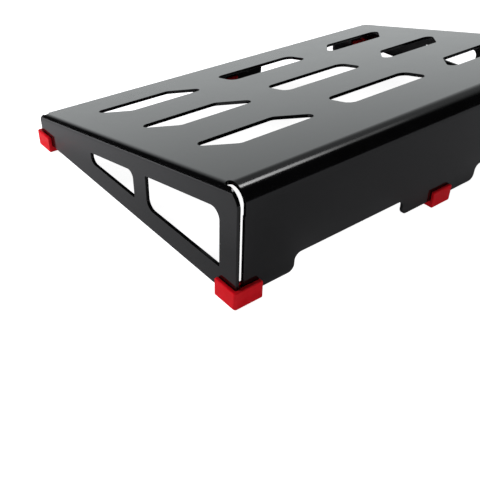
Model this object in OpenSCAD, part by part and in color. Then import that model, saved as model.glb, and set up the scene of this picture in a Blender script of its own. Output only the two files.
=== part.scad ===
// Pedalboard: one folded metal sheet that slopes down towards the player, on push-on rubber feet.
// X runs along the board, +Y points to the tall panel at the back, -Y to the low edge, +Z up.
// The origin is on the floor, under the middle of the board.

/* [Board] */
// Width over the two side panels
board_w = 450; // [410:1:620]
// Depth from the low lip's outer face to the tall panel's outer face
board_d = 300; // [275:1:420]
// Height of the deck above the sheet's bottom edge, at the tall panel
tall_h = 90; // [75:0.5:125]
// Height of the deck above the sheet's bottom edge, at the low lip
low_h = 26; // [22:0.5:38]
// Thickness of the sheet
sheet_t = 3; // [2:0.1:4]

/* [Bends and corners] */
// Outer radius of the bend over the tall panel
tall_bend_r = 13; // [6:0.5:14]
// Outer radius of the bend over the low lip
low_bend_r = 6; // [4.5:0.5:10]
// Outer radius of the bends over the side panels
side_bend_r = 6; // [4.2:0.1:6.6]
// How far the side panels reach past the tall panel's outer face
side_proud = 0.8; // [0:0.1:2]
// Open gap between a side panel and the end of the tall panel or low lip
corner_gap = 4.4; // [3:0.1:8]
// How much wider that gap is where it passes over a bend
relief_extra = 0.6; // [0.4:0.1:2]
// How far the wider gap runs onto the deck, past the start of the tall bend
tall_relief_run = 2; // [1:0.5:8]
// How far the wider gap runs down the tall panel, past its bend's radius
tall_relief_drop = 9; // [4:0.5:20]
// How far the wider gap runs onto the deck, past the start of the low bend
low_relief_run = 2; // [1:0.5:8]
// How far the wider gap runs down the low lip, past its bend's radius
low_relief_drop = 4; // [1:0.5:5]

/* [Deck slots] */
// Width of a slot, down the slope
slot_w = 30; // [20:0.1:40]
// Distance from one row of slots to the next, down the slope
slot_pitch = 80; // [50:0.5:84]
// Distance from the tall panel to the middle of the first row, down the slope
first_slot = 85; // [60:0.1:90]
// Length of a middle slot
middle_slot_l = 100.5; // [60:1:120]
// Length of each long edge of a slanted outer slot
outer_slot_l = 86; // [50:0.5:100]
// Distance from a side panel's outer face to the outer slots' nearest corners
slot_margin = 28.4; // [18:0.1:36]
// Slant of the outer slots' ends, from straight down the slope
slot_slant = 45; // [0:1:50]
// Radius in a slot's wide corners
slot_corner_r = 8; // [3:0.5:9]
// Radius in a slanted slot's pointed corners
slot_tip_r = 6; // [2:0.5:7]

/* [Side windows] */
// Height of the windows' bottom edge above the sheet's bottom edge
window_sill = 18.5; // [14:0.1:20]
// Distance from the deck's surface down to the windows' top edge, square to the slope
window_head = 18.7; // [14:0.1:20.4]
// Distance from the tall panel's outer face to the large window
large_window_y = 18.2; // [14:0.1:24]
// Length of the large window
large_window_l = 93.1; // [60:0.1:100]
// Width of the bar between the two windows
window_bar = 18.9; // [12:0.1:26]
// Length of the small window
small_window_l = 70; // [30:0.1:78]
// Radius in the large window's two round corners
large_window_r = 8; // [3:0.5:10]
// Radius in the small window's two round corners
small_window_r = 6; // [3:0.5:7]
// Radius in the windows' square corners
window_sharp_r = 1; // [0.5:0.1:1.5]

/* [Cable notches] */
// Height of the two notches in the bottom edge of the tall panel, and of the low lip
notch_h = 14.8; // [13:0.1:20]
// Width of the tabs that the notches leave at the corners, from the side panel's outer face
corner_tab_w = 55.8; // [45:0.1:70]
// Width of the tab that the notches leave in the middle
middle_tab_w = 98; // [60:0.5:140]
// Radius of the notches' corners
notch_r = 6; // [2:0.5:6]

/* [Feet] */
// Height of the rubber below the sheet's bottom edge
sole_t = 6; // [4:0.5:8]
// Height of the foot's walls above the sheet's bottom edge
grip_h = 9.2; // [6:0.1:11]
// Thickness of the foot's walls on each side of the sheet
foot_wall = 3.4; // [2:0.1:4]
// Length of a corner foot's outer wall along the side panel
foot_side_l = 23.8; // [18:0.1:30]
// Length of a corner foot's outer wall along the tall panel or low lip
foot_end_l = 25.8; // [18:0.1:30]
// Width of a centre foot
centre_foot_w = 24; // [16:0.5:40]
// Radius of a foot's upright outer edges
foot_corner_r = 2.2; // [1:0.1:3]

/* [Hidden] */
$fn = 48;

// Colours
metal_black = [0.09, 0.09, 0.095];
rubber_red = [0.80, 0.05, 0.09];

// Past this far a cutter is surely outside the sheet
over = 2;

// Half sizes, and the two ends: +1 is the tall panel, -1 the low lip
half_w = board_w / 2;
half_d = board_d / 2;
TALL = 1;
LOW = -1;

// The slope of the deck, and its length from corner to corner
slope = atan((tall_h - low_h) / board_d);
deck_l = board_d / cos(slope);
// A step straight up from the deck, as [y, z]
deck_normal = [-sin(slope), cos(slope)];

// Height of the deck above the sheet's bottom edge at a given y, and of a line a set depth below it
function deck_z(y, depth = 0) = low_h + (y + half_d) * tan(slope) - depth / cos(slope);

// Distance down the slope from the tall corner to where the deck runs into each bend
tall_tangent = tall_bend_r * tan((90 + slope) / 2);
low_tangent = deck_l - low_bend_r * tan((90 - slope) / 2);

// Width of the corner gap over a bend
relief_w = corner_gap + relief_extra;

// Width of a side strip: it meets the deck in the middle of the gap's extra width
strip_w = sheet_t + corner_gap + relief_extra / 2;

// Half a slot's width, and how far a slanted end leans over it
slot_half = slot_w / 2;
slot_lean = slot_half * tan(slot_slant);

// Height and depth of a foot, and the corner feet's outer planes
foot_h = sole_t + grip_h;
foot_depth = foot_wall + sheet_t + foot_wall;
foot_x = half_w + foot_wall;
foot_y = half_d + side_proud + foot_wall;

// Direction from a corner towards a point, and the angle between two directions
function toward(a, b) = (b - a) / norm(b - a);
function between(u, v) = acos(u * v);

// A shape with straight edges and truly round corners, all of them convex.
// Each corner is cut straight across where its arc begins and ends, and a circle fills it out.
module rounded(points, radii) {
    last = len(points) - 1;
    before = [for (i = [0:last]) toward(points[i], points[i == 0 ? last : i - 1])];
    after = [for (i = [0:last]) toward(points[i], points[i == last ? 0 : i + 1])];
    half = [for (i = [0:last]) between(before[i], after[i]) / 2];
    polygon([for (i = [0:last], side = [before[i], after[i]])
             points[i] + side * radii[i] / tan(half[i])]);
    for (i = [0:last]) {
        middle = points[i] + toward([0, 0], before[i] + after[i]) * radii[i] / sin(half[i]);
        translate(middle) circle(radii[i]);
    }
}

// A side view as a solid shape: the deck's line less a depth, rounded over at each end
module side_view(tall_face, tall_r, low_face, low_r, depth) {
    tall = [tall_face - tall_r, deck_z(tall_face - tall_r, tall_r + depth)];
    low = [low_face + low_r, deck_z(low_face + low_r, low_r + depth)];
    intersection() {
        union() {
            polygon([[low_face, -over], [low_face, low[1]], low + deck_normal * low_r,
                     tall + deck_normal * tall_r, [tall_face, tall[1]], [tall_face, -over]]);
            translate(low) circle(low_r);
            translate(tall) circle(tall_r);
        }
        translate([-board_d, depth > 0 ? -over : 0]) square([2 * board_d, 2 * tall_h]);
    }
}

// The side view of the folded ends, a set depth inside the sheet's outer face
module folded_view(depth = 0) {
    side_view(half_d - depth, tall_bend_r - depth, depth - half_d, low_bend_r - depth, depth);
}

// Stretches a side view along X, over a given width about the middle
module along_x(width) {
    translate([-width / 2, 0, 0]) rotate([90, 0, 90]) linear_extrude(width) children();
}

// Lays children on the deck: X along the board, Y down the slope from the tall corner, Z out of it
module on_deck() {
    translate([0, half_d, tall_h]) rotate([slope, 0, 0]) mirror([0, 1, 0]) children();
}

// Runs children at the two sides of the board
module both_sides() {
    children();
    mirror([1, 0, 0]) children();
}

// The top, tall panel and low lip, in one strip between the corner gaps
module end_to_end_strip() {
    difference() {
        along_x(board_w - 2 * (sheet_t + corner_gap)) folded_view();
        along_x(board_w) folded_view(sheet_t);
    }
}

// One side panel, its bend and the strip of deck beside it
module side_strip() {
    bend_x = half_w - side_bend_r;
    intersection() {
        on_deck() rotate([90, 0, 0]) translate([0, 0, -deck_l - tall_h])
            linear_extrude(deck_l + 2 * tall_h) {
                translate([half_w - strip_w, -sheet_t]) square([strip_w - side_bend_r, sheet_t]);
                translate([half_w - sheet_t, -2 * tall_h]) square([sheet_t, 2 * tall_h - side_bend_r]);
                translate([bend_x, -side_bend_r]) intersection() {
                    difference() {
                        circle(side_bend_r);
                        circle(side_bend_r - sheet_t);
                    }
                    square(side_bend_r);
                }
            }
        along_x(board_w) side_view(half_d + side_proud, tall_bend_r, -half_d, low_bend_r, 0);
    }
}

// The gap at a corner where it passes over the end's bend, from the deck down to the panel
module corner_relief(end) {
    end_r = relief_w / 2;
    start = end == TALL ? tall_tangent + tall_relief_run : low_tangent - low_relief_run;
    reach = end == TALL ? 2 * tall_bend_r : 2 * low_bend_r;
    depth = end == TALL ? tall_bend_r + tall_relief_drop : low_bend_r + low_relief_drop;
    on_deck() translate([half_w - sheet_t - end_r, start - end * end_r, -depth])
        linear_extrude(depth + over) {
            circle(end_r);
            translate([-end_r, end == TALL ? -reach - over : 0]) square([relief_w, reach + over]);
        }
}

// A middle slot, seen square to the deck
module middle_slot() {
    x = middle_slot_l / 2;
    rounded([[-x, -slot_half], [x, -slot_half], [x, slot_half], [-x, slot_half]],
            [slot_corner_r, slot_corner_r, slot_corner_r, slot_corner_r]);
}

// The outer slot on the +X side, seen square to the deck: its ends lean in towards the tall panel
module outer_slot() {
    x = outer_slot_l / 2;
    rounded([[-x - slot_lean, -slot_half], [x - slot_lean, -slot_half],
             [x + slot_lean, slot_half], [-x + slot_lean, slot_half]],
            [slot_tip_r, slot_corner_r, slot_tip_r, slot_corner_r]);
}

// All the slots in the deck
module deck_slots() {
    outer_x = half_w - slot_margin - slot_lean - outer_slot_l / 2;
    for (row = [0:2])
        on_deck() translate([0, first_slot + row * slot_pitch, -sheet_t - over])
            linear_extrude(sheet_t + 2 * over) {
                middle_slot();
                both_sides() translate([outer_x, 0]) outer_slot();
            }
}

// A window in the side panels: its top edge follows the deck, and two corners are round.
// Where the window is low, its height limits how round they are.
module side_window(start, length, round_r) {
    tall_y = half_d - start;
    low_y = tall_y - length;
    tall_top = deck_z(tall_y, window_head);
    low_top = deck_z(low_y, window_head);
    corner_r = min(round_r, low_top - window_sill - 2 * window_sharp_r);
    rounded([[low_y, window_sill], [tall_y, window_sill], [tall_y, tall_top], [low_y, low_top]],
            [corner_r, window_sharp_r, corner_r, window_sharp_r]);
}

// A cable notch on the +X side, seen along the board's depth: its top corners are round inside,
// and its mouth is rounded off where it runs out of the sheet's bottom edge
module cable_notch() {
    inner_x = middle_tab_w / 2;
    outer_x = half_w - corner_tab_w;
    width = outer_x - inner_x;
    translate([inner_x, 0])
        rounded([[0, -2 * notch_r], [width, -2 * notch_r], [width, notch_h], [0, notch_h]],
                [notch_r, notch_r, notch_r, notch_r]);
    for (side = [[inner_x, -1], [outer_x, 1]])
        translate([side[0] + (side[1] - 1) / 2 * notch_r, -over]) difference() {
            square([notch_r, notch_r + over]);
            translate([(side[1] + 1) / 2 * notch_r, notch_r + over]) circle(notch_r);
        }
}

// The whole body: one folded sheet
module folded_deck() {
    color(metal_black)
    translate([0, 0, sole_t])
    difference() {
        union() {
            end_to_end_strip();
            both_sides() side_strip();
        }
        both_sides() corner_relief(TALL);
        both_sides() corner_relief(LOW);
        deck_slots();
        along_x(board_w + 2 * over) side_window(large_window_y, large_window_l, large_window_r);
        along_x(board_w + 2 * over)
            side_window(large_window_y + large_window_l + window_bar, small_window_l, small_window_r);
        both_sides() translate([0, half_d + over, 0]) rotate([90, 0, 0])
            linear_extrude(board_d + 2 * over) cable_notch();
    }
}

// A push-on foot in one corner, its outer walls at +X and +Y: an L-shaped channel on a thick sole.
// The channel along the end runs half-way into the one along the side, so the two are open to each other.
module corner_foot() {
    difference() {
        union() {
            translate([foot_x - foot_depth, foot_y - foot_side_l, 0])
                cube([foot_depth, foot_side_l - foot_corner_r, foot_h]);
            translate([foot_x - foot_end_l, half_d - sheet_t - foot_wall, 0])
                cube([foot_end_l - foot_corner_r, foot_depth + side_proud, foot_h]);
            translate([foot_x - foot_corner_r, foot_y - foot_corner_r, 0])
                cylinder(h = foot_h, r = foot_corner_r);
        }
        translate([half_w - sheet_t, foot_y - foot_side_l - over, sole_t])
            cube([sheet_t, foot_side_l + over - foot_wall, foot_h]);
        translate([foot_x - foot_end_l - over, half_d - sheet_t, sole_t])
            cube([foot_end_l + over - foot_wall - sheet_t / 2, sheet_t, foot_h]);
    }
}

// A push-on foot in the middle of the +Y side: a straight channel on a thick sole
module centre_foot() {
    difference() {
        translate([-centre_foot_w / 2, half_d - sheet_t - foot_wall, 0])
            cube([centre_foot_w, foot_depth, foot_h]);
        translate([-centre_foot_w, half_d - sheet_t, sole_t])
            cube([2 * centre_foot_w, sheet_t, foot_h]);
    }
}

// Places the feet: the left is at -X, and a low foot is a tall one turned to the other side
module tall_right_foot() { color(rubber_red) corner_foot(); }
module tall_left_foot() { color(rubber_red) mirror([1, 0, 0]) corner_foot(); }
module low_right_foot() { color(rubber_red) mirror([0, 1, 0]) corner_foot(); }
module low_left_foot() { color(rubber_red) rotate([0, 0, 180]) corner_foot(); }
module tall_centre_foot() { color(rubber_red) centre_foot(); }
module low_centre_foot() { color(rubber_red) mirror([0, 1, 0]) centre_foot(); }

folded_deck();
tall_left_foot();
tall_centre_foot();
tall_right_foot();
low_left_foot();
low_centre_foot();
low_right_foot();
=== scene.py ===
"""Pedalboard: the looks of a folded metal board on push-on rubber feet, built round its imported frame.

Lengths are in metres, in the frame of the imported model: X along the board, +Y to the tall panel, +Z up.
"""

import logging
import math
from dataclasses import dataclass, field
from enum import Enum

import bmesh
import bpy
from mathutils import Matrix, Vector

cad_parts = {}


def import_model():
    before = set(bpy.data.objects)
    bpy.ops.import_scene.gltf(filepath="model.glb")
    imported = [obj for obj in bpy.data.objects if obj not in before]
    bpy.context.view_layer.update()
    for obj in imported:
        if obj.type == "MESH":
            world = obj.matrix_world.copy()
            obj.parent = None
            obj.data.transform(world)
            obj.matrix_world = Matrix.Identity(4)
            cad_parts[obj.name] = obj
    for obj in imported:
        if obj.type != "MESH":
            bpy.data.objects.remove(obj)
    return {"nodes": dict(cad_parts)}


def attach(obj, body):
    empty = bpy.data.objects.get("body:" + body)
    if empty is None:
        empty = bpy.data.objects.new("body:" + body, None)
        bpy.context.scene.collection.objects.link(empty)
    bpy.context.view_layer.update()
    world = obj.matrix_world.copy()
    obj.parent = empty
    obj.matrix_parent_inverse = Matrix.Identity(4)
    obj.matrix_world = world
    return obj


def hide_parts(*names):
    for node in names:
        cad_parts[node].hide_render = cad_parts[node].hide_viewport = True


log = logging.getLogger("pedalboard")

MM = 0.001
QUARTER_TURN = math.pi / 2
SHARP_EDGE = math.radians(32)
SAME_POINT = 1e-7
CUT_WELD = 2e-6
NO_LENGTH = 1e-6

Point = tuple[float, float, float]
Colour = tuple[float, float, float]


class End(Enum):
    """The two ends of the slope."""

    TALL = 1
    LOW = -1


class Side(Enum):
    """The two sides of the board, as the player stands at the low edge."""

    RIGHT = 1
    LEFT = -1


# ---------------------------------------------------------------- shaping helpers


def rounded_face(
    bm: bmesh.types.BMesh, corners: list[Vector], radii: list[float], steps: int
) -> bmesh.types.BMFace:
    """Draws a flat face whose corners are true arcs, each spun about its own centre.

    Args:
        bm: The mesh to draw in.
        corners: The sharp corners, in order round the outline.
        radii: One radius per corner; 0 keeps it sharp.
        steps: Straight pieces in each arc.

    Returns:
        The new face.
    """
    outline: list[bmesh.types.BMVert] = []
    count = len(corners)
    for i, (corner, radius) in enumerate(zip(corners, radii)):
        if radius <= 0:
            outline.append(bm.verts.new(corner))
            continue
        before = (corners[i - 1] - corner).normalized()
        after = (corners[(i + 1) % count] - corner).normalized()
        half = before.angle(after) / 2
        middle = corner + (before + after).normalized() * (radius / math.sin(half))
        start = corner + before * (radius / math.tan(half))
        end = corner + after * (radius / math.tan(half))
        first = bm.verts.new(start)
        known = set(bm.verts)
        bmesh.ops.spin(
            bm,
            geom=[first],
            cent=middle,
            axis=(start - middle).cross(end - middle).normalized(),
            angle=math.pi - 2 * half,
            steps=steps,
        )
        arc = [v for v in bm.verts if v not in known]
        arc.sort(key=lambda v: (v.co - start).length)
        arc[-1].co = end
        outline += [first] + arc
    return bm.faces.new(outline)


def extrude(bm: bmesh.types.BMesh, face: bmesh.types.BMFace, step: Vector) -> None:
    """Pulls a face along a step into a closed solid.

    Args:
        bm: The mesh that holds the face.
        face: The face that becomes the solid's first end.
        step: How far and which way the second end lies.
    """
    made = bmesh.ops.extrude_face_region(bm, geom=[face], use_keep_orig=True)
    ends = [g for g in made["geom"] if isinstance(g, bmesh.types.BMVert)]
    bmesh.ops.translate(bm, verts=ends, vec=step)


def score(bm: bmesh.types.BMesh, point: Vector, normal: Vector) -> None:
    """Cuts a shape's faces along a plane, so that no flat face will hold a whole hole.

    Args:
        bm: The shape that is cut; it stays in one piece.
        point: A point of the plane.
        normal: The plane's direction.
    """
    everything = bm.verts[:] + bm.edges[:] + bm.faces[:]
    bmesh.ops.bisect_plane(bm, geom=everything, dist=SAME_POINT, plane_co=point, plane_no=normal)


def solid(name: str, bm: bmesh.types.BMesh) -> bpy.types.Object:
    """Turns a bmesh into an object at the origin, with its faces outwards.

    Args:
        name: The object's name.
        bm: The finished mesh, which is freed.

    Returns:
        The object, linked to the scene.
    """
    bmesh.ops.remove_doubles(bm, verts=bm.verts, dist=SAME_POINT)
    bmesh.ops.recalc_face_normals(bm, faces=bm.faces)
    mesh = bpy.data.meshes.new(name)
    bm.to_mesh(mesh)
    bm.free()
    obj = bpy.data.objects.new(name, mesh)
    bpy.context.scene.collection.objects.link(obj)
    return obj


def settle(obj: bpy.types.Object) -> None:
    """Makes what an object's modifiers give into its own mesh, and removes the modifiers.

    Args:
        obj: The object.
    """
    bpy.context.view_layer.update()
    seen = obj.evaluated_get(bpy.context.evaluated_depsgraph_get())
    mesh = bpy.data.meshes.new_from_object(seen)
    old = obj.data
    obj.modifiers.clear()
    obj.data = mesh
    bpy.data.meshes.remove(old)
    mesh.name = obj.name


def put_in_order(mesh: bpy.types.Mesh) -> None:
    """Sorts a mesh's points and faces by their places alone.

    A boolean gives them in an order that changes from run to run, and what comes after depends on it.

    Args:
        mesh: The mesh to sort.
    """
    loose, sorted_bm = bmesh.new(), bmesh.new()
    loose.from_mesh(mesh)
    twins = {v: sorted_bm.verts.new(v.co) for v in sorted(loose.verts, key=lambda v: v.co[:])}
    sorted_bm.verts.index_update()
    rings = []
    for face in loose.faces:
        ring = [twins[v] for v in face.verts]
        first = min(range(len(ring)), key=lambda i: ring[i].index)
        rings.append(ring[first:] + ring[:first])
    for ring in sorted(rings, key=lambda ring: [v.index for v in ring]):
        sorted_bm.faces.new(ring)
    sorted_bm.to_mesh(mesh)
    loose.free()
    sorted_bm.free()


def combine(target: bpy.types.Object, tool: bpy.types.Object, operation: str) -> None:
    """Cuts, joins or crosses one solid with another, and removes the second.

    Args:
        target: The solid that changes.
        tool: The solid that is used up.
        operation: DIFFERENCE, UNION or INTERSECT.
    """
    cut = target.modifiers.new("combine", "BOOLEAN")
    cut.operation = operation
    cut.solver = "EXACT"
    cut.object = tool
    settle(target)
    put_in_order(target.data)
    mesh = tool.data
    bpy.data.objects.remove(tool)
    bpy.data.meshes.remove(mesh)


def ease_edges(obj: bpy.types.Object, width: float, segments: int) -> None:
    """Rounds off a solid's sharp edges and keeps its flat faces flat under smooth shading.

    Args:
        obj: The solid.
        width: How far the rounding reaches from each edge.
        segments: Straight pieces in the rounding.
    """
    weld = bmesh.new()
    weld.from_mesh(obj.data)
    bmesh.ops.remove_doubles(weld, verts=weld.verts, dist=CUT_WELD)
    bmesh.ops.dissolve_degenerate(weld, edges=weld.edges, dist=NO_LENGTH)
    sharp = [e for e in weld.edges if len(e.link_faces) == 2 and e.calc_face_angle(0.0) > SHARP_EDGE]
    bmesh.ops.bevel(
        weld,
        geom=sharp,
        offset=width,
        offset_type="OFFSET",
        segments=segments,
        profile=0.5,
        affect="EDGES",
        clamp_overlap=False,
        material=-1,
        loop_slide=True,
        harden_normals=False,
    )
    for face in weld.faces:
        face.smooth = True
    weld.to_mesh(obj.data)
    weld.free()
    even = obj.modifiers.new("even", "WEIGHTED_NORMAL")
    even.mode = "FACE_AREA"
    even.weight = 100
    even.keep_sharp = True
    settle(obj)


# ---------------------------------------------------------------- finishes


class Recipe:
    """A node material under construction: short ways to add and join its nodes."""

    def __init__(self, name: str) -> None:
        """Starts an empty material with a Principled shader.

        Args:
            name: The material's name.
        """
        self.material = bpy.data.materials.new(name)
        self.material.use_nodes = True
        self.nodes = self.material.node_tree.nodes
        self.links = self.material.node_tree.links
        self.shader = self.nodes["Principled BSDF"]
        self.output = self.nodes["Material Output"]
        self.place = self.nodes.new("ShaderNodeTexCoord").outputs["Object"]

    def noise(self, scale: float, detail: float, roughness: float = 0.5) -> bpy.types.NodeSocket:
        """A cloudy pattern in the object's own space, as a value from 0 to 1.

        Args:
            scale: Cells per metre.
            detail: Finer layers added.
            roughness: How strong the finer layers are.

        Returns:
            The pattern's output socket.
        """
        node = self.nodes.new("ShaderNodeTexNoise")
        node.inputs["Scale"].default_value = scale
        node.inputs["Detail"].default_value = detail
        node.inputs["Roughness"].default_value = roughness
        self.links.new(self.place, node.inputs["Vector"])
        return node.outputs["Fac"]

    def spread(
        self, value: bpy.types.NodeSocket, low: float, high: float, start: float = 0.3, end: float = 0.7
    ) -> bpy.types.NodeSocket:
        """Maps a pattern to a range of numbers.

        Args:
            value: The pattern.
            low: The number at the pattern's start.
            high: The number at the pattern's end.
            start: Where in the pattern the range starts.
            end: Where it ends.

        Returns:
            The mapped output socket.
        """
        node = self.nodes.new("ShaderNodeMapRange")
        node.inputs["From Min"].default_value = start
        node.inputs["From Max"].default_value = end
        node.inputs["To Min"].default_value = low
        node.inputs["To Max"].default_value = high
        self.links.new(value, node.inputs["Value"])
        return node.outputs["Result"]

    def blend(self, value: bpy.types.NodeSocket, first: Colour, second: Colour) -> bpy.types.NodeSocket:
        """Mixes two colours by a pattern.

        Args:
            value: The pattern, 0 for the first colour and 1 for the second.
            first: The first colour, linear.
            second: The second colour, linear.

        Returns:
            The colour's output socket.
        """
        node = self.nodes.new("ShaderNodeMix")
        node.data_type = "RGBA"
        node.inputs["A"].default_value = (*first, 1.0)
        node.inputs["B"].default_value = (*second, 1.0)
        self.links.new(value, node.inputs["Factor"])
        return node.outputs["Result"]

    def bump(
        self,
        height: bpy.types.NodeSocket,
        strength: float,
        distance: float,
        under: bpy.types.NodeSocket | None = None,
    ) -> bpy.types.NodeSocket:
        """Raises a pattern as fine relief.

        Args:
            height: The pattern.
            strength: How much of the relief shows.
            distance: The relief's height in metres.
            under: A coarser relief that this one lies on.

        Returns:
            The normal's output socket.
        """
        node = self.nodes.new("ShaderNodeBump")
        node.inputs["Strength"].default_value = strength
        node.inputs["Distance"].default_value = distance
        self.links.new(height, node.inputs["Height"])
        if under is not None:
            self.links.new(under, node.inputs["Normal"])
        return node.outputs["Normal"]


@dataclass(frozen=True)
class PowderCoat:
    """Satin black powder coat: a smooth skin with a faint orange peel."""

    dark: Colour = (0.0016, 0.0016, 0.0018)
    light: Colour = (0.0030, 0.0030, 0.0033)
    cloud_scale: float = 38.0
    smooth: float = 0.13
    rough: float = 0.16
    peel_scale: float = 520.0
    peel_strength: float = 0.35
    peel_height: float = 0.00002
    grit_scale: float = 2600.0
    grit_strength: float = 0.12
    grit_share: float = 1 / 3

    def material(self) -> bpy.types.Material:
        """Builds the coat: clouds in colour and gloss, an orange peel, and fine grit on top of it.

        Returns:
            The node material.
        """
        r = Recipe("satin black powder coat")
        cloud = r.noise(self.cloud_scale, 4.0)
        fine = r.noise(self.grit_scale, 2.0)
        r.links.new(r.blend(r.spread(cloud, 0.0, 1.0), self.dark, self.light), r.shader.inputs["Base Color"])
        r.links.new(r.spread(cloud, self.smooth, self.rough), r.shader.inputs["Roughness"])
        peel = r.bump(r.noise(self.peel_scale, 2.0), self.peel_strength, self.peel_height)
        grit = r.bump(fine, self.grit_strength, self.peel_height * self.grit_share, peel)
        r.links.new(grit, r.shader.inputs["Normal"])
        return r.material


@dataclass(frozen=True)
class SiliconeRubber:
    """Red silicone rubber: dense colour with a soft bloom and a moulded grain."""

    deep: Colour = (0.66, 0.0045, 0.011)
    bright: Colour = (0.74, 0.0075, 0.017)
    shine: float = 0.16
    cloud_scale: float = 160.0
    smooth: float = 0.38
    rough: float = 0.52
    grain_scale: float = 1500.0
    grain_strength: float = 0.4
    grain_height: float = 0.00003

    def material(self) -> bpy.types.Material:
        """Builds the rubber: clouds in colour and gloss over a moulded grain.

        Returns:
            The node material.
        """
        r = Recipe("red silicone rubber")
        r.shader.inputs["Specular IOR Level"].default_value = self.shine
        cloud = r.noise(self.cloud_scale, 3.0)
        r.links.new(r.blend(r.spread(cloud, 0.0, 1.0), self.deep, self.bright), r.shader.inputs["Base Color"])
        r.links.new(r.spread(cloud, self.smooth, self.rough), r.shader.inputs["Roughness"])
        grain = r.bump(r.noise(self.grain_scale, 2.0), self.grain_strength, self.grain_height)
        r.links.new(grain, r.shader.inputs["Normal"])
        return r.material


# ---------------------------------------------------------------- the board


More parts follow.
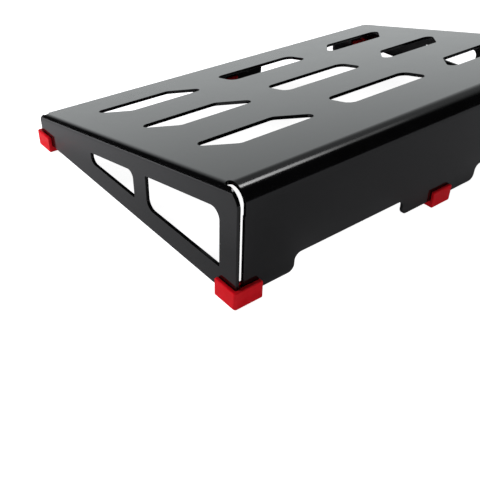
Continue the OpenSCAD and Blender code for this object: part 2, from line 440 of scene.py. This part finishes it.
@dataclass
class FoldedDeck:
    """The folded sheet: sloped deck, tall panel, low lip and two side panels.

    Cutters pass the sheet by the length called over. A hair is too small to see, and keeps an arc
    from ending exactly on an edge or on another arc.
    """

    width: float = 450 * MM
    depth: float = 300 * MM
    tall_h: float = 90 * MM
    low_h: float = 26 * MM
    sheet: float = 3 * MM
    tall_bend: float = 13 * MM
    low_bend: float = 6 * MM
    side_bend: float = 6 * MM
    proud: float = 0.8 * MM
    gap: float = 4.4 * MM
    relief_extra: float = 0.6 * MM
    relief_run: dict[End, float] = field(default_factory=lambda: {End.TALL: 2 * MM, End.LOW: 2 * MM})
    relief_drop: dict[End, float] = field(default_factory=lambda: {End.TALL: 9 * MM, End.LOW: 4 * MM})
    slot_w: float = 30 * MM
    slot_pitch: float = 80 * MM
    first_slot: float = 85 * MM
    slot_rows: int = 3
    middle_slot: float = 100.5 * MM
    outer_slot: float = 86 * MM
    slot_margin: float = 28.4 * MM
    slot_corner: float = 8 * MM
    slot_tip: float = 6 * MM
    sill: float = 18.5 * MM
    head: float = 18.7 * MM
    large_window: tuple[float, float, float] = (18.2 * MM, 93.1 * MM, 8 * MM)
    small_window: tuple[float, float, float] = (130.2 * MM, 70 * MM, 6 * MM)
    window_sharp: float = 1 * MM
    notch_h: float = 14.8 * MM
    corner_tab: float = 55.8 * MM
    middle_tab: float = 98 * MM
    notch_r: float = 6 * MM
    mouth_run: float = 2 * MM
    sole: float = 6 * MM
    edge: float = 0.3 * MM
    edge_steps: int = 2
    arc_steps: int = 20
    over: float = 4 * MM
    hair: float = 0.02 * MM

    @property
    def slope(self) -> float:
        """The deck's angle from the floor."""
        return math.atan((self.tall_h - self.low_h) / self.depth)

    @property
    def outer_x(self) -> float:
        """How far the outer slots' middles lie from the board's middle."""
        return self.width / 2 - self.slot_margin - self.slot_w / 2 - self.outer_slot / 2

    def deck_z(self, y: float, below: float = 0.0) -> float:
        """Height of the deck's face at y, or of a line a set depth below it."""
        rise = (y + self.depth / 2) * math.tan(self.slope)
        return self.sole + self.low_h + rise - below / math.cos(self.slope)

    def on_deck(self) -> Matrix:
        """Turns X, down-the-slope and out-of-the-deck into the frame, from the tall corner."""
        corner = Matrix.Translation((0, self.depth / 2, self.sole + self.tall_h))
        return corner @ Matrix.Rotation(self.slope, 4, "X") @ Matrix.Diagonal((1, -1, 1, 1))

    def off_deck(self) -> Matrix:
        """Turns the frame into the deck's own axes, in which the sheet is cut."""
        return self.on_deck().inverted()

    def laid(self, point: Vector) -> Vector:
        """Moves a point of the frame to the deck's own axes.

        Args:
            point: The point in the frame.

        Returns:
            The point in the deck's axes. One on a face of the deck lies on it exactly, so that faces
            that meet there are in one plane.
        """
        flat = self.off_deck() @ point
        for level in (0.0, -self.sheet):
            if abs(flat.z - level) < CUT_WELD:
                flat.z = level
        return flat

    def ends_strip(self) -> bpy.types.Object:
        """The deck, tall panel and low lip as one bent strip between the corner gaps.

        Returns:
            The strip, uncut.
        """
        bm = bmesh.new()
        half_x = self.width / 2 - self.sheet - self.gap
        y, inner = self.depth / 2, self.depth / 2 - self.sheet
        x, floor = -half_x, self.sole
        corners = [
            Vector((x, y, floor)),
            Vector((x, y, self.deck_z(y))),
            Vector((x, -y, self.deck_z(-y))),
            Vector((x, -y, floor)),
            Vector((x, -inner, floor)),
            Vector((x, -inner, self.deck_z(-inner, self.sheet))),
            Vector((x, inner, self.deck_z(inner, self.sheet))),
            Vector((x, inner, floor)),
        ]
        inside = [self.low_bend - self.sheet, self.tall_bend - self.sheet]
        radii = [0, self.tall_bend, self.low_bend, 0, 0, *inside, 0]
        face = rounded_face(bm, [self.laid(corner) for corner in corners], radii, self.arc_steps)
        extrude(bm, face, Vector((2 * half_x, 0, 0)))
        for slot_x in (-self.outer_x, 0.0, self.outer_x):
            score(bm, Vector((slot_x, 0, 0)), Vector((1, 0, 0)))
        for row in range(self.slot_rows):
            score(bm, Vector((0, self.first_slot + row * self.slot_pitch, 0)), Vector((0, 1, 0)))
        return solid("folded_deck_coated", bm)

    def side_strips(self) -> bpy.types.Object:
        """Both side panels with their bends and the strips of deck beside them.

        Returns:
            The two strips, trimmed to the board's outline.
        """
        bm = bmesh.new()
        outer, inner = self.width / 2, self.width / 2 - self.sheet
        strip = outer - self.sheet - self.gap - self.relief_extra / 2
        deep, long = 2 * self.tall_h, self.depth + 2 * self.tall_h
        for side in Side:
            s = side.value
            corners = [
                Vector((s * strip, -self.tall_h, 0)),
                Vector((s * outer, -self.tall_h, 0)),
                Vector((s * outer, -self.tall_h, -deep)),
                Vector((s * inner, -self.tall_h, -deep)),
                Vector((s * inner, -self.tall_h, -self.sheet)),
                Vector((s * strip, -self.tall_h, -self.sheet)),
            ]
            radii = [0, self.side_bend, 0, 0, self.side_bend - self.sheet, 0]
            extrude(bm, rounded_face(bm, corners, radii, self.arc_steps // 2), Vector((0, long, 0)))
        along = self.off_deck().to_3x3() @ Vector((0, 1, 0))
        for start, length, _ in (self.large_window, self.small_window):
            score(bm, self.off_deck() @ Vector((0, self.depth / 2 - start - length / 2, 0)), along)
        strips = solid("side_strips", bm)
        outline = bmesh.new()
        tall, low = self.depth / 2 + self.proud, -self.depth / 2
        x = -self.width
        corners = [
            Vector((x, tall, self.sole)),
            Vector((x, tall, self.deck_z(tall))),
            Vector((x, low, self.deck_z(low))),
            Vector((x, low, self.sole)),
        ]
        radii = [0, self.tall_bend, self.low_bend, 0]
        face = rounded_face(outline, [self.laid(corner) for corner in corners], radii, self.arc_steps)
        extrude(outline, face, Vector((2 * self.width, 0, 0)))
        combine(strips, solid("side_outline", outline), "INTERSECT")
        return strips

    def reliefs(self) -> bpy.types.Object:
        """The four corner gaps where they pass over the bends.

        Returns:
            The cutter.
        """
        bm = bmesh.new()
        width = self.gap + self.relief_extra
        x = self.width / 2 - self.sheet
        length = self.depth / math.cos(self.slope)
        tall_reach = self.tall_bend * math.tan((QUARTER_TURN + self.slope) / 2)
        low_reach = self.low_bend * math.tan((QUARTER_TURN - self.slope) / 2)
        starts = {
            End.TALL: tall_reach + self.relief_run[End.TALL],
            End.LOW: length - low_reach - self.relief_run[End.LOW],
        }
        bends = {End.TALL: self.tall_bend, End.LOW: self.low_bend}
        for end in End:
            far = starts[end] - end.value * (2 * bends[end] + 3 * self.over)
            depth = bends[end] + self.relief_drop[end]
            for side in Side:
                corners = [
                    Vector((side.value * x, starts[end], -depth)),
                    Vector((side.value * (x - width), starts[end], -depth)),
                    Vector((side.value * (x - width), far, -depth)),
                    Vector((side.value * x, far, -depth)),
                ]
                round_end = (width - self.hair) / 2
                face = rounded_face(bm, corners, [round_end, round_end, 0, 0], self.arc_steps // 2)
                extrude(bm, face, Vector((0, 0, depth + self.over)))
        return solid("reliefs", bm)

    def slots(self) -> bpy.types.Object:
        """All the slots in the deck: straight in the middle, slanted at the sides.

        Returns:
            The cutter.
        """
        bm = bmesh.new()
        half = self.slot_w / 2
        lean = half
        up = Vector((0, 0, self.sheet + 2 * self.over))
        for row in range(self.slot_rows):
            v = self.first_slot + row * self.slot_pitch
            z = -self.sheet - self.over
            x = self.middle_slot / 2
            corners = [Vector((sx * x, v + sy * half, z)) for sx, sy in ((-1, -1), (1, -1), (1, 1), (-1, 1))]
            extrude(bm, rounded_face(bm, corners, [self.slot_corner] * 4, self.arc_steps // 2), up)
            x = self.outer_slot / 2
            for side in Side:
                s = side.value
                corners = [
                    Vector((s * (self.outer_x + dx), v + dy, z))
                    for dx, dy in ((-x - lean, -half), (x - lean, -half), (x + lean, half), (-x + lean, half))
                ]
                radii = [self.slot_tip, self.slot_corner, self.slot_tip, self.slot_corner]
                extrude(bm, rounded_face(bm, corners, radii, self.arc_steps // 2), up)
        return solid("slots", bm)

    def windows(self) -> bpy.types.Object:
        """The windows of both side panels, cut straight through the board from side to side.

        Returns:
            The cutter.
        """
        bm = bmesh.new()
        x = -self.width / 2 - self.over
        for start, length, radius in (self.large_window, self.small_window):
            tall = self.depth / 2 - start
            low = tall - length
            corners = [
                Vector((x, low, self.sole + self.sill)),
                Vector((x, tall, self.sole + self.sill)),
                Vector((x, tall, self.deck_z(tall, self.head))),
                Vector((x, low, self.deck_z(low, self.head))),
            ]
            radii = [radius, self.window_sharp, radius, self.window_sharp]
            extrude(bm, rounded_face(bm, corners, radii, self.arc_steps // 2), Vector((-2 * x, 0, 0)))
        bmesh.ops.transform(bm, matrix=self.off_deck(), verts=bm.verts)
        return solid("windows", bm)

    def notches(self) -> bpy.types.Object:
        """The cable notches in the bottom edges of both end panels, with rounded mouths.

        Returns:
            The cutter.
        """
        bm = bmesh.new()
        inner, outer = self.middle_tab / 2, self.width / 2 - self.corner_tab
        mouth = self.notch_r + self.mouth_run
        low, lip = self.sole - self.over, self.sole - self.hair
        top, y = self.sole + self.notch_h, -self.depth / 2 - self.over
        for side in Side:
            outline = [
                (inner - mouth, low, 0),
                (inner - mouth, lip, 0),
                (inner, lip, self.notch_r),
                (inner, top, self.notch_r),
                (outer, top, self.notch_r),
                (outer, lip, self.notch_r),
                (outer + mouth, lip, 0),
                (outer + mouth, low, 0),
            ]
            corners = [Vector((side.value * x, y, z)) for x, z, _ in outline]
            face = rounded_face(bm, corners, [radius for _, _, radius in outline], self.arc_steps // 2)
            extrude(bm, face, Vector((0, self.depth + 2 * self.over, 0)))
        bmesh.ops.transform(bm, matrix=self.off_deck(), verts=bm.verts)
        return solid("notches", bm)

    def stand(self, sheet: bpy.types.Object) -> None:
        """Moves the cut sheet from the deck's own axes to its place in the frame.

        Args:
            sheet: The sheet.
        """
        bm = bmesh.new()
        bm.from_mesh(sheet.data)
        bmesh.ops.transform(bm, matrix=self.on_deck(), verts=bm.verts)
        bmesh.ops.recalc_face_normals(bm, faces=bm.faces)
        bm.to_mesh(sheet.data)
        bm.free()

    def build(self, coat: bpy.types.Material) -> bpy.types.Object:
        """Folds, cuts and dresses the sheet.

        Args:
            coat: The powder coat's material.

        Returns:
            The finished piece.
        """
        sheet = self.ends_strip()
        combine(sheet, self.side_strips(), "UNION")
        combine(sheet, self.reliefs(), "DIFFERENCE")
        combine(sheet, self.slots(), "DIFFERENCE")
        combine(sheet, self.windows(), "DIFFERENCE")
        combine(sheet, self.notches(), "DIFFERENCE")
        self.stand(sheet)
        ease_edges(sheet, self.edge, self.edge_steps)
        sheet.data.materials.clear()
        sheet.data.materials.append(coat)
        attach(sheet, "root")
        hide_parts("folded_deck")
        return sheet


@dataclass
class RubberFeet:
    """The push-on feet: an L-shaped one in each corner and a straight one under each end."""

    deck: FoldedDeck
    wall: float = 3.4 * MM
    grip: float = 9.2 * MM
    side_l: float = 23.8 * MM
    end_l: float = 25.8 * MM
    centre_w: float = 24 * MM
    corner_r: float = 2.2 * MM
    edge: float = 1.0 * MM
    edge_steps: int = 3
    arc_steps: int = 6

    def corner_blank(self) -> bpy.types.Object:
        """The foot for the +X, +Y corner: an L on a thick sole, with a channel for the sheet.

        Returns:
            The foot, with sharp edges.
        """
        d = self.deck
        side_x, end_y = d.width / 2 + self.wall, d.depth / 2 + d.proud + self.wall
        inner_x = d.width / 2 - d.sheet - self.wall
        inner_y = d.depth / 2 - d.sheet - self.wall
        bm = bmesh.new()
        corners = [
            Vector((side_x, end_y, 0)),
            Vector((side_x - self.end_l, end_y, 0)),
            Vector((side_x - self.end_l, inner_y, 0)),
            Vector((inner_x, inner_y, 0)),
            Vector((inner_x, end_y - self.side_l, 0)),
            Vector((side_x, end_y - self.side_l, 0)),
        ]
        face = rounded_face(bm, corners, [self.corner_r, 0, 0, 0, 0, 0], self.arc_steps)
        extrude(bm, face, Vector((0, 0, d.sole + self.grip)))
        foot = solid("corner_blank", bm)
        channel = bmesh.new()
        x1, x0 = d.width / 2, d.width / 2 - d.sheet
        y1, y0 = d.depth / 2, d.depth / 2 - d.sheet
        proud_y, far_x, far_y = y1 + d.proud, side_x - self.end_l - d.over, end_y - self.side_l - d.over
        corners = [
            Vector((x1, proud_y, d.sole)),
            Vector((x0, proud_y, d.sole)),
            Vector((x0, y1, d.sole)),
            Vector((far_x, y1, d.sole)),
            Vector((far_x, y0, d.sole)),
            Vector((x0, y0, d.sole)),
            Vector((x0, far_y, d.sole)),
            Vector((x1, far_y, d.sole)),
        ]
        extrude(channel, rounded_face(channel, corners, [0] * 8, 1), Vector((0, 0, 2 * self.grip)))
        combine(foot, solid("channel", channel), "DIFFERENCE")
        return foot

    def centre_blank(self) -> bpy.types.Object:
        """The foot for the middle of the +Y end: a straight channel on a thick sole.

        Returns:
            The foot, with sharp edges.
        """
        d = self.deck
        y1, y0 = d.depth / 2, d.depth / 2 - d.sheet
        bm = bmesh.new()
        x = -self.centre_w / 2
        outline = [
            (y1 + self.wall, 0),
            (y1 + self.wall, d.sole + self.grip),
            (y1, d.sole + self.grip),
            (y1, d.sole),
            (y0, d.sole),
            (y0, d.sole + self.grip),
            (y0 - self.wall, d.sole + self.grip),
            (y0 - self.wall, 0),
        ]
        face = rounded_face(bm, [Vector((x, y, z)) for y, z in outline], [0] * 8, 1)
        extrude(bm, face, Vector((self.centre_w, 0, 0)))
        return solid("centre_blank", bm)

    def place(
        self, blank: bpy.types.Object, node: str, flip: tuple[int, int], rubber: bpy.types.Material
    ) -> bpy.types.Object:
        """Copies a blank to one place on the board and dresses it.

        Args:
            blank: The foot as made for +X, +Y.
            node: The frame's piece that it stands for.
            flip: 1 or -1 along X and along Y.
            rubber: The rubber's material.

        Returns:
            The finished foot.
        """
        bm = bmesh.new()
        bm.from_mesh(blank.data)
        bmesh.ops.scale(bm, verts=bm.verts, vec=(flip[0], flip[1], 1))
        foot = solid(node + "_moulded", bm)
        ease_edges(foot, self.edge, self.edge_steps)
        foot.data.materials.clear()
        foot.data.materials.append(rubber)
        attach(foot, "root")
        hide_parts(node)
        return foot

    def build(self, rubber: bpy.types.Material) -> list[bpy.types.Object]:
        """Makes all six feet.

        Args:
            rubber: The rubber's material.

        Returns:
            The finished feet.
        """
        corner, centre = self.corner_blank(), self.centre_blank()
        feet = []
        for end, end_name in ((End.TALL, "tall"), (End.LOW, "low")):
            for side, side_name in ((Side.LEFT, "left"), (Side.RIGHT, "right")):
                node = f"{end_name}_{side_name}_foot"
                feet.append(self.place(corner, node, (side.value, end.value), rubber))
            feet.append(self.place(centre, f"{end_name}_centre_foot", (1, end.value), rubber))
        for blank in (corner, centre):
            bpy.data.objects.remove(blank)
        return feet


# ---------------------------------------------------------------- the studio


@dataclass(frozen=True)
class View:
    """Where the board is seen from."""

    eye: Point = (0.45098, 0.42865, 0.31874)
    azimuth: float = 140.539
    elevation: float = 36.006
    roll: float = 1.396
    lens_mm: float = 50.99655
    frame_mm: float = 36.0
    nearest: float = 0.01

    def camera(self) -> bpy.types.Object:
        """Makes the camera and gives it to the scene.

        Returns:
            The camera.
        """
        a, e, k = math.radians(self.azimuth), math.radians(self.elevation), math.radians(self.roll)
        back = Vector((math.sin(a) * math.cos(e), -math.cos(a) * math.cos(e), math.sin(e)))
        right = Vector((math.cos(a), math.sin(a), 0))
        up = back.cross(right)
        turned_right = math.cos(k) * right + math.sin(k) * up
        turned_up = math.cos(k) * up - math.sin(k) * right
        data = bpy.data.cameras.new("camera")
        data.sensor_width = self.frame_mm
        data.sensor_height = self.frame_mm
        data.lens = self.lens_mm
        data.clip_start = self.nearest
        eye = bpy.data.objects.new("camera", data)
        turn = Matrix((turned_right, turned_up, back)).transposed().to_4x4()
        eye.matrix_world = Matrix.Translation(self.eye) @ turn
        bpy.context.scene.collection.objects.link(eye)
        bpy.context.scene.camera = eye
        return eye


@dataclass(frozen=True)
class Lamp:
    """A flat soft lamp. A hidden one lights the board, but no glossy face mirrors it."""

    name: str
    place: Point
    aim: Point
    size: tuple[float, float]
    radiance: float
    spin: float = 0.0
    hidden: bool = False

    def build(self) -> bpy.types.Object:
        """Hangs the lamp. Its power follows from its brightness and its area.

        Returns:
            The lamp.
        """
        data = bpy.data.lights.new(self.name, "AREA")
        data.shape = "RECTANGLE"
        data.size, data.size_y = self.size
        data.energy = self.radiance * math.pi * self.size[0] * self.size[1]
        obj = bpy.data.objects.new(self.name, data)
        toward = Vector(self.aim) - Vector(self.place)
        turn = toward.to_track_quat("-Z", "Y").to_matrix().to_4x4() @ Matrix.Rotation(self.spin, 4, "Z")
        obj.matrix_world = Matrix.Translation(self.place) @ turn
        obj.visible_glossy = not self.hidden
        bpy.context.scene.collection.objects.link(obj)
        return obj


@dataclass(frozen=True)
class Glow:
    """A soft bright region of the surroundings, round one bearing, with a brightness for each height.

    The edge holds two cosines of the angle from that bearing: where the glow starts, and where it
    is full. The profile pairs heights, 0 at the horizon and 1 straight up, with brightnesses.
    """

    toward: Point
    edge: tuple[float, float]
    tint: Colour
    profile: tuple[tuple[float, float], ...]
    strength: float


@dataclass(frozen=True)
class Studio:
    """Pale floor, white surroundings and soft lamps."""

    lamps: tuple[Lamp, ...] = (
        Lamp("strip 1", (-0.23, 0.080, 0.92), (0.15, 0.146, 0.09), (0.16, 0.26), 7.8, QUARTER_TURN),
        Lamp("strip 2", (-0.355, 0.086, 0.92), (0.15, 0.146, 0.09), (0.09, 0.26), 6.6, QUARTER_TURN),
        Lamp("strip 3", (-0.45, 0.092, 0.92), (0.15, 0.146, 0.09), (0.10, 0.26), 4.6, QUARTER_TURN),
        Lamp("strip 4", (-0.54, 0.10, 0.92), (0.15, 0.146, 0.09), (0.08, 0.26), 2.0, QUARTER_TURN),
        Lamp("strip 5", (-0.68, 0.11, 0.92), (0.15, 0.146, 0.09), (0.20, 0.26), 0.6, QUARTER_TURN),
        Lamp("side softbox", (1.0, -1.0, 0.5), (0.22, -0.05, 0.03), (0.9, 0.5), 16.0, hidden=True),
        Lamp("fill softbox", (0.60, 1.30, 0.17), (0.20, 0.15, 0.04), (0.8, 0.26), 8.0, hidden=True),
    )
    glows: tuple[Glow, ...] = (
        Glow(
            (-0.766, -0.643, 0.0),
            (0.53, 0.86),
            (0.955, 0.995, 1.0),
            (
                (0.0, 0.98),
                (0.08, 0.96),
                (0.19, 0.84),
                (0.29, 0.745),
                (0.40, 0.53),
                (0.50, 0.32),
                (0.60, 0.30),
                (0.78, 0.38),
                (0.90, 0.0),
            ),
            1.08,
        ),
        Glow(
            (0.64, 0.77, 0.0),
            (0.35, 0.9),
            (1.0, 1.0, 1.0),
            ((0.0, 1.0), (0.2, 1.0), (0.45, 0.5), (0.7, 0.0)),
            0.16,
        ),
    )
    dim: float = 0.008
    floor_half: float = 0.8
    floor_cloud: float = 3.0
    floor_dark: Colour = (0.77, 0.77, 0.80)
    floor_light: Colour = (0.79, 0.79, 0.82)
    floor_rough: float = 0.9
    floor_lift: float = 0.94

    def lit_part(
        self,
        tree: bpy.types.NodeTree,
        way: bpy.types.NodeSocket,
        height: bpy.types.NodeSocket,
        glow: Glow,
    ) -> bpy.types.NodeSocket:
        """Adds one glow to the surroundings.

        Args:
            tree: The world's nodes.
            way: The direction that is looked in.
            height: That direction's height, 0 at the horizon and 1 straight up.
            glow: The glow to add.

        Returns:
            The socket that holds the glow's colour times its brightness.
        """
        nodes, links = tree.nodes, tree.links
        level, bearing, facing = (nodes.new("ShaderNodeVectorMath") for _ in range(3))
        level.operation, bearing.operation, facing.operation = "MULTIPLY", "NORMALIZE", "DOT_PRODUCT"
        level.inputs[1].default_value = (1.0, 1.0, 0.0)
        facing.inputs[1].default_value = Vector(glow.toward).normalized()
        links.new(way, level.inputs[0])
        links.new(level.outputs["Vector"], bearing.inputs[0])
        links.new(bearing.outputs["Vector"], facing.inputs[0])
        window = nodes.new("ShaderNodeMapRange")
        window.interpolation_type = "SMOOTHSTEP"
        window.inputs["From Min"].default_value, window.inputs["From Max"].default_value = glow.edge
        window.inputs["To Max"].default_value = glow.strength
        links.new(facing.outputs["Value"], window.inputs["Value"])
        ramp = nodes.new("ShaderNodeValToRGB")
        stops = ramp.color_ramp.elements
        while len(stops) < len(glow.profile):
            stops.new(0.5)
        for stop, (where, share) in zip(stops, glow.profile):
            stop.position = where
            stop.color = (*(share * part for part in glow.tint), 1.0)
        links.new(height, ramp.inputs["Fac"])
        product = nodes.new("ShaderNodeVectorMath")
        product.operation = "SCALE"
        links.new(ramp.outputs["Color"], product.inputs[0])
        links.new(window.outputs["Result"], product.inputs["Scale"])
        return product.outputs["Vector"]

    def surroundings(self) -> None:
        """White to the eye; for light, bright beyond the board, faint behind the eye, and dim elsewhere."""
        world = bpy.data.worlds.new("studio")
        bpy.context.scene.world = world
        world.use_nodes = True
        tree = world.node_tree
        nodes, links = tree.nodes, tree.links
        nodes.clear()
        out, mix = nodes.new("ShaderNodeOutputWorld"), nodes.new("ShaderNodeMixShader")
        seen, lit = nodes.new("ShaderNodeBackground"), nodes.new("ShaderNodeBackground")
        path, split = nodes.new("ShaderNodeLightPath"), nodes.new("ShaderNodeSeparateXYZ")
        way = nodes.new("ShaderNodeTexCoord").outputs["Generated"]
        links.new(way, split.inputs[0])
        total: bpy.types.NodeSocket | None = None
        for glow in self.glows:
            part = self.lit_part(tree, way, split.outputs["Z"], glow)
            add = nodes.new("ShaderNodeVectorMath")
            add.operation = "ADD"
            add.inputs[1].default_value = (self.dim, self.dim, self.dim)
            links.new(part, add.inputs[0])
            if total is not None:
                links.new(total, add.inputs[1])
            total = add.outputs["Vector"]
        links.new(total, lit.inputs["Color"])
        links.new(path.outputs["Is Camera Ray"], mix.inputs["Fac"])
        links.new(lit.outputs[0], mix.inputs[1])
        links.new(seen.outputs[0], mix.inputs[2])
        seen.inputs["Color"].default_value = (1, 1, 1, 1)
        links.new(mix.outputs[0], out.inputs["Surface"])

    def floor(self) -> bpy.types.Object:
        """A pale floor that is white to the eye and keeps the board's shadow.

        Returns:
            The floor.
        """
        bm = bmesh.new()
        bmesh.ops.create_grid(bm, x_segments=1, y_segments=1, size=self.floor_half)
        obj = solid("floor", bm)
        if obj.data.polygons[0].normal.z < 0:
            obj.data.flip_normals()
        r = Recipe("pale studio floor")
        cloud = r.noise(self.floor_cloud, 2.0)
        r.links.new(r.blend(cloud, self.floor_dark, self.floor_light), r.shader.inputs["Base Color"])
        r.shader.inputs["Roughness"].default_value = self.floor_rough
        r.shader.inputs["Specular IOR Level"].default_value = 0.0
        glow, add = r.nodes.new("ShaderNodeEmission"), r.nodes.new("ShaderNodeAddShader")
        path, lift = r.nodes.new("ShaderNodeLightPath"), r.nodes.new("ShaderNodeMath")
        lift.operation = "MULTIPLY"
        lift.inputs[1].default_value = self.floor_lift
        r.links.new(path.outputs["Is Camera Ray"], lift.inputs[0])
        r.links.new(lift.outputs[0], glow.inputs["Strength"])
        r.links.new(r.shader.outputs[0], add.inputs[0])
        r.links.new(glow.outputs[0], add.inputs[1])
        r.links.new(add.outputs[0], r.output.inputs["Surface"])
        obj.data.materials.append(r.material)
        return obj

    def build(self) -> None:
        """Sets up the floor, the surroundings, the lamps and the view transform."""
        self.floor()
        self.surroundings()
        for lamp in self.lamps:
            lamp.build()
        bpy.context.scene.view_settings.view_transform = "Standard"


def main() -> None:
    """Builds the board piece by piece, then the studio and the camera."""
    logging.basicConfig(level=logging.INFO, format="%(name)s: %(message)s")
    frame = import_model()
    log.info("frame nodes: %s", sorted(frame["nodes"]))
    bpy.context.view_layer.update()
    deck = FoldedDeck()
    sheet = deck.build(PowderCoat().material())
    log.info("%s: %d faces", sheet.name, len(sheet.data.polygons))
    for foot in RubberFeet(deck).build(SiliconeRubber().material()):
        log.info("%s: %d faces", foot.name, len(foot.data.polygons))
    Studio().build()
    View().camera()


if __name__ == "__main__":
    main()
